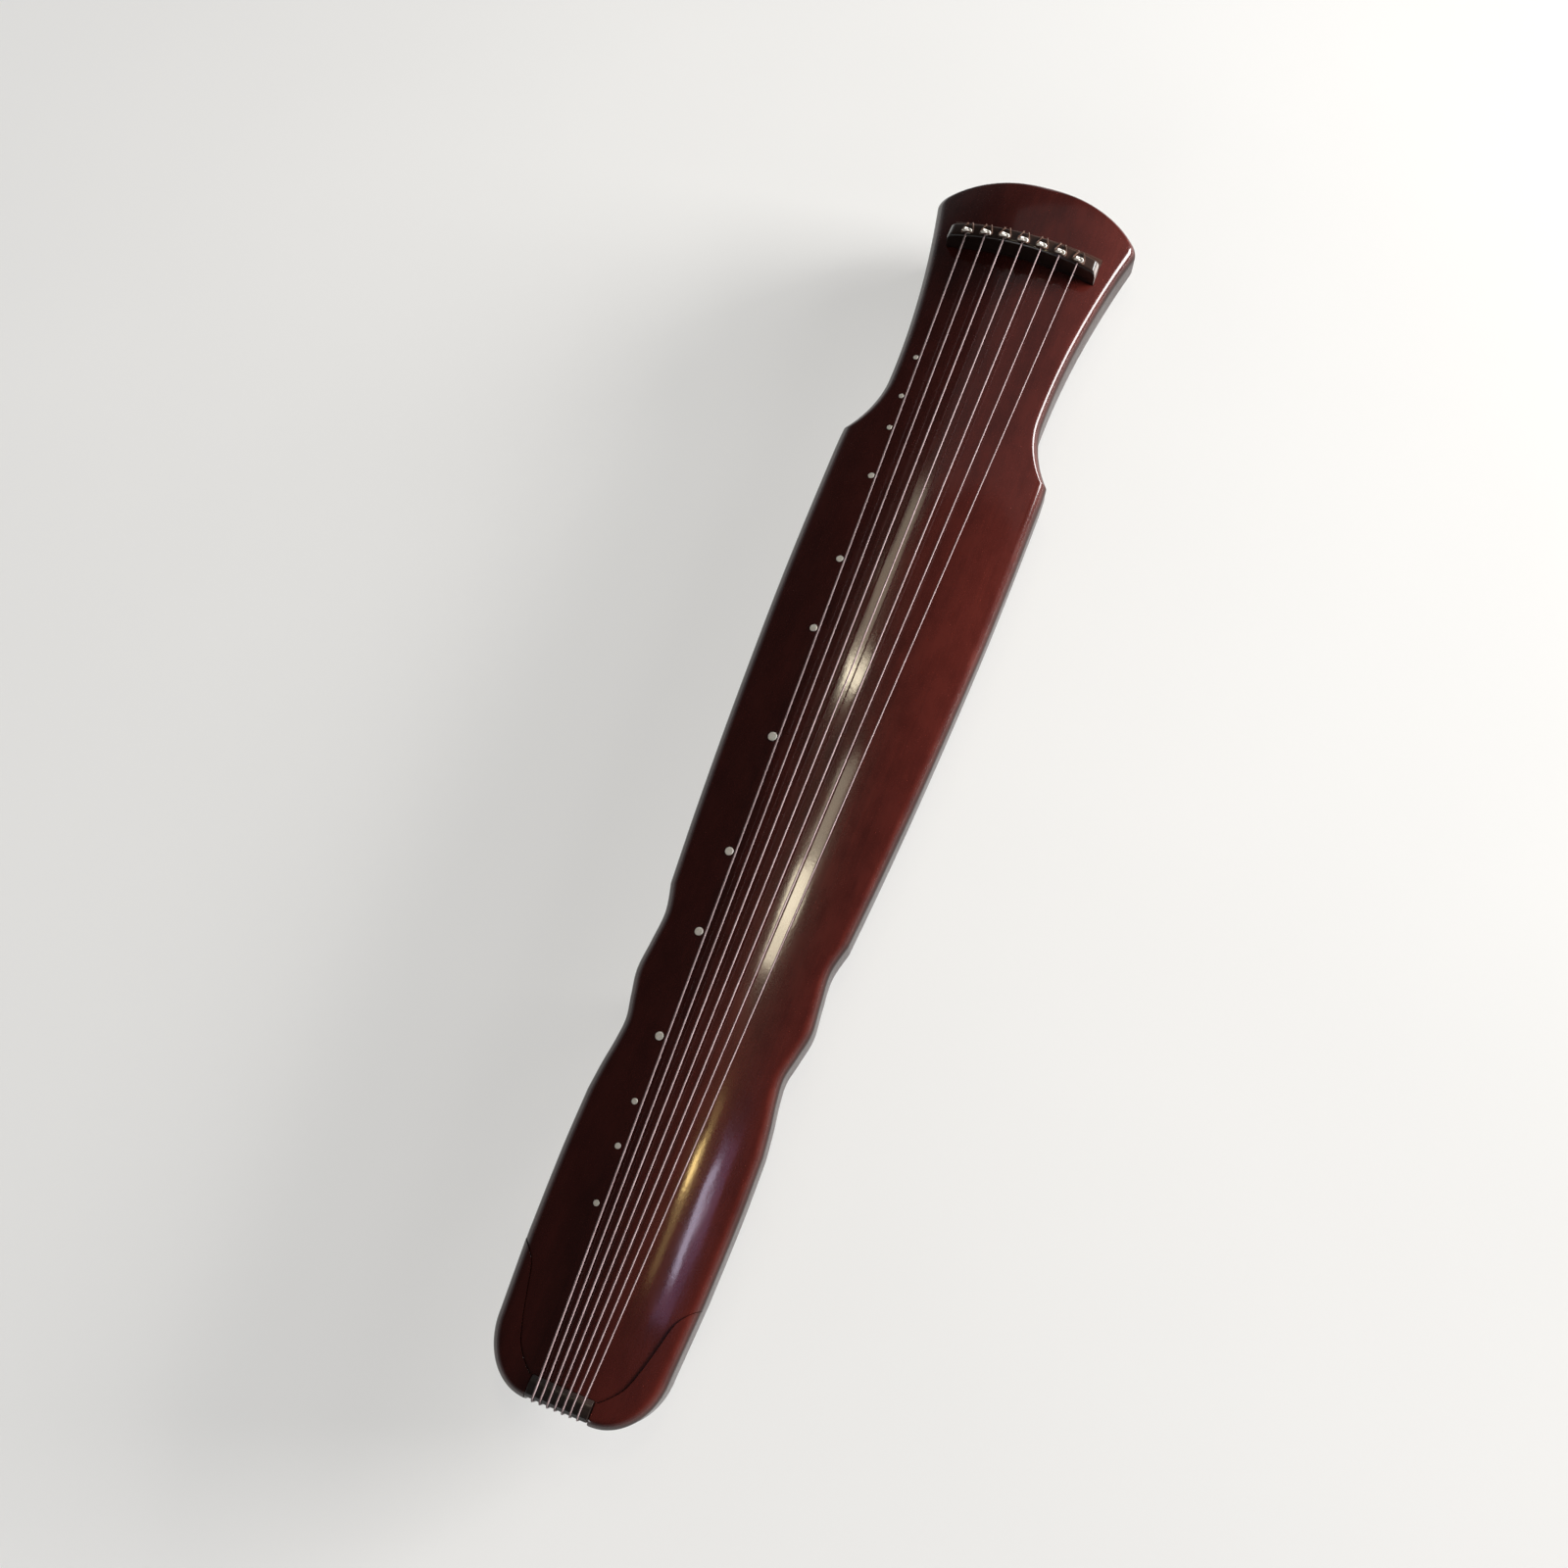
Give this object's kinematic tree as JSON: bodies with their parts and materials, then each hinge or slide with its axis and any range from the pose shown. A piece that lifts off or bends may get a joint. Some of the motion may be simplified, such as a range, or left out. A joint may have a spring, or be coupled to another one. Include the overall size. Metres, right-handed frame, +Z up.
{
  "type": "guqin",
  "caption": "Long lacquered fretless zither: rounded head, pointed shoulders, arched hollow body, bridge, shell studs, turning pegs with cords, and strings wound on goose feet.",
  "frame": {"origin": "centre of the footprint, on the surface that the feet and peg guards stand on", "axes": "+X towards the head, +Y towards the thickest string and the studs, +Z up"},
  "size_m": [1.235, 0.2098, 0.1052],
  "materials": {
    "lacquer": "glossy dark oxblood lacquer over wood",
    "rosewood": "polished near-black rosewood",
    "inner_wood": "bare planed wood",
    "shell": "polished white shell inlay",
    "string": "smooth nylon winding over a steel core",
    "cord": "twisted dark silk cord"
  },
  "bodies": {
    "root": {"top_board": "lacquer", "bottom_board": "lacquer", "crown_corner_left": "lacquer", "crown_corner_right": "lacquer", "phoenix_tongue": "lacquer", "heaven_post": "inner_wood", "earth_post": "inner_wood", "bridge": "rosewood", "cord_strip": "rosewood", "tail_nut": "rosewood", "nut_support": "rosewood", "peg_guard_left": "rosewood", "goose_foot_left": "rosewood", "peg_guard_right": "rosewood", "goose_foot_right": "rosewood", "stud_1": "shell", "stud_2": "shell", "stud_3": "shell", "stud_4": "shell", "stud_5": "shell", "stud_6": "shell", "stud_7": "shell", "stud_8": "shell", "stud_9": "shell", "stud_10": "shell", "stud_11": "shell", "stud_12": "shell", "stud_13": "shell", "tuning_cord_1": "cord", "string_1": "string", "tuning_cord_2": "cord", "string_2": "string", "tuning_cord_3": "cord", "string_3": "string", "tuning_cord_4": "cord", "string_4": "string", "tuning_cord_5": "cord", "string_5": "string", "tuning_cord_6": "cord", "string_6": "string", "tuning_cord_7": "cord", "string_7": "string"},
    "peg_1": {"peg_1": "rosewood"},
    "peg_2": {"peg_2": "rosewood"},
    "peg_3": {"peg_3": "rosewood"},
    "peg_4": {"peg_4": "rosewood"},
    "peg_5": {"peg_5": "rosewood"},
    "peg_6": {"peg_6": "rosewood"},
    "peg_7": {"peg_7": "rosewood"}
  },
  "joints": [
    {"name": "peg_1_turn", "type": "hinge", "parent": "root", "child": "peg_1", "pos_m": [0.5382, 0.05715, 0.0487], "axis": [0, 0, 1], "continuous": true},
    {"name": "peg_2_turn", "type": "hinge", "parent": "root", "child": "peg_2", "pos_m": [0.5382, 0.0381, 0.0487], "axis": [0, 0, 1], "continuous": true},
    {"name": "peg_3_turn", "type": "hinge", "parent": "root", "child": "peg_3", "pos_m": [0.5382, 0.01905, 0.0487], "axis": [0, 0, 1], "continuous": true},
    {"name": "peg_4_turn", "type": "hinge", "parent": "root", "child": "peg_4", "pos_m": [0.5382, 0, 0.0487], "axis": [0, 0, 1], "continuous": true},
    {"name": "peg_5_turn", "type": "hinge", "parent": "root", "child": "peg_5", "pos_m": [0.5382, -0.01905, 0.0487], "axis": [0, 0, 1], "continuous": true},
    {"name": "peg_6_turn", "type": "hinge", "parent": "root", "child": "peg_6", "pos_m": [0.5382, -0.0381, 0.0487], "axis": [0, 0, 1], "continuous": true},
    {"name": "peg_7_turn", "type": "hinge", "parent": "root", "child": "peg_7", "pos_m": [0.5382, -0.05715, 0.0487], "axis": [0, 0, 1], "continuous": true}
  ]
}
